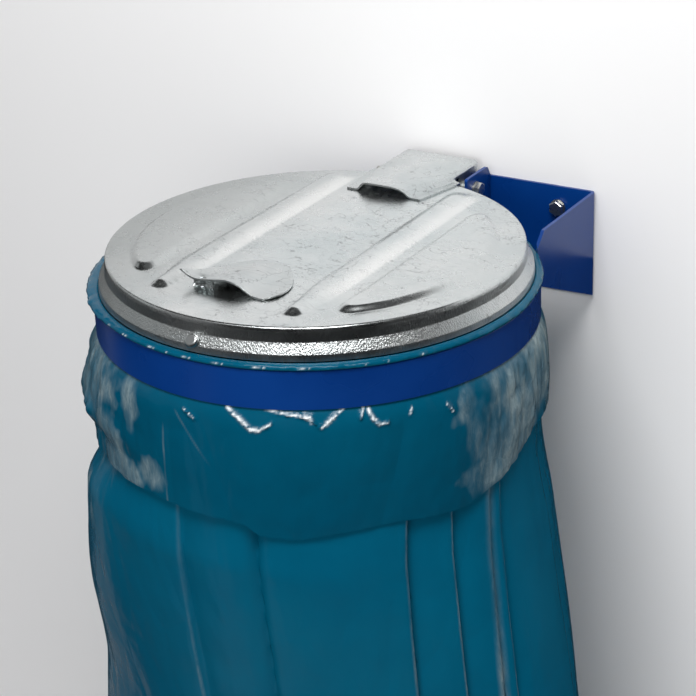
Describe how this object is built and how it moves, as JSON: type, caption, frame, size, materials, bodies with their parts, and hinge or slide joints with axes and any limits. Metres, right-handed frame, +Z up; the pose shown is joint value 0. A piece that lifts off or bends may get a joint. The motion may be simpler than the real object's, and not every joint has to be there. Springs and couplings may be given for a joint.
{
  "type": "bin bag holder",
  "caption": "Wall-mounted steel bag holder: a painted band on a folded bracket, an inner ring that grips the turned-over bag, and a hinged galvanised lid.",
  "frame": {"origin": "on the wall's face, in the middle plane of the band and the lid, level with the band's top edge", "axes": "+Z up, +Y into the wall, +X to the right seen from the front"},
  "size_m": [0.6998, 0.4929, 0.9499],
  "materials": {
    "blue_paint": "semi-gloss blue powder coat",
    "galvanised": "hot-dip galvanised with a fine spangle",
    "plated_steel": "zinc plated",
    "film": "glossy teal polyethylene film"
  },
  "bodies": {
    "holder": {"outer_ring": "blue_paint", "inner_ring": "plated_steel", "wall_bracket": "blue_paint", "hinge_ear_left": "blue_paint", "hinge_ear_right": "blue_paint", "hinge_bolt": "plated_steel", "hinge_nut": "plated_steel", "hinge_washer_left": "plated_steel", "hinge_washer_right": "plated_steel", "hinge_spacer_left": "plated_steel", "hinge_spacer_right": "plated_steel", "wall_bolt_upper_right": "plated_steel", "wall_bolt_lower_right": "plated_steel", "wall_bolt_lower_left": "plated_steel", "wall_washer_upper_right": "plated_steel", "wall_washer_lower_right": "plated_steel", "wall_washer_lower_left": "plated_steel", "bin_bag": "film"},
    "lid": {"lid_shell": "galvanised", "hinge_strap": "galvanised", "lid_handle": "galvanised", "front_rivet": "galvanised"}
  },
  "joints": [
    {"name": "lid_hinge", "type": "hinge", "parent": "holder", "child": "lid", "pos_m": [0, -0.035, 0.0195], "axis": [-1, 0, 0], "range_deg": [0, 91]}
  ]
}
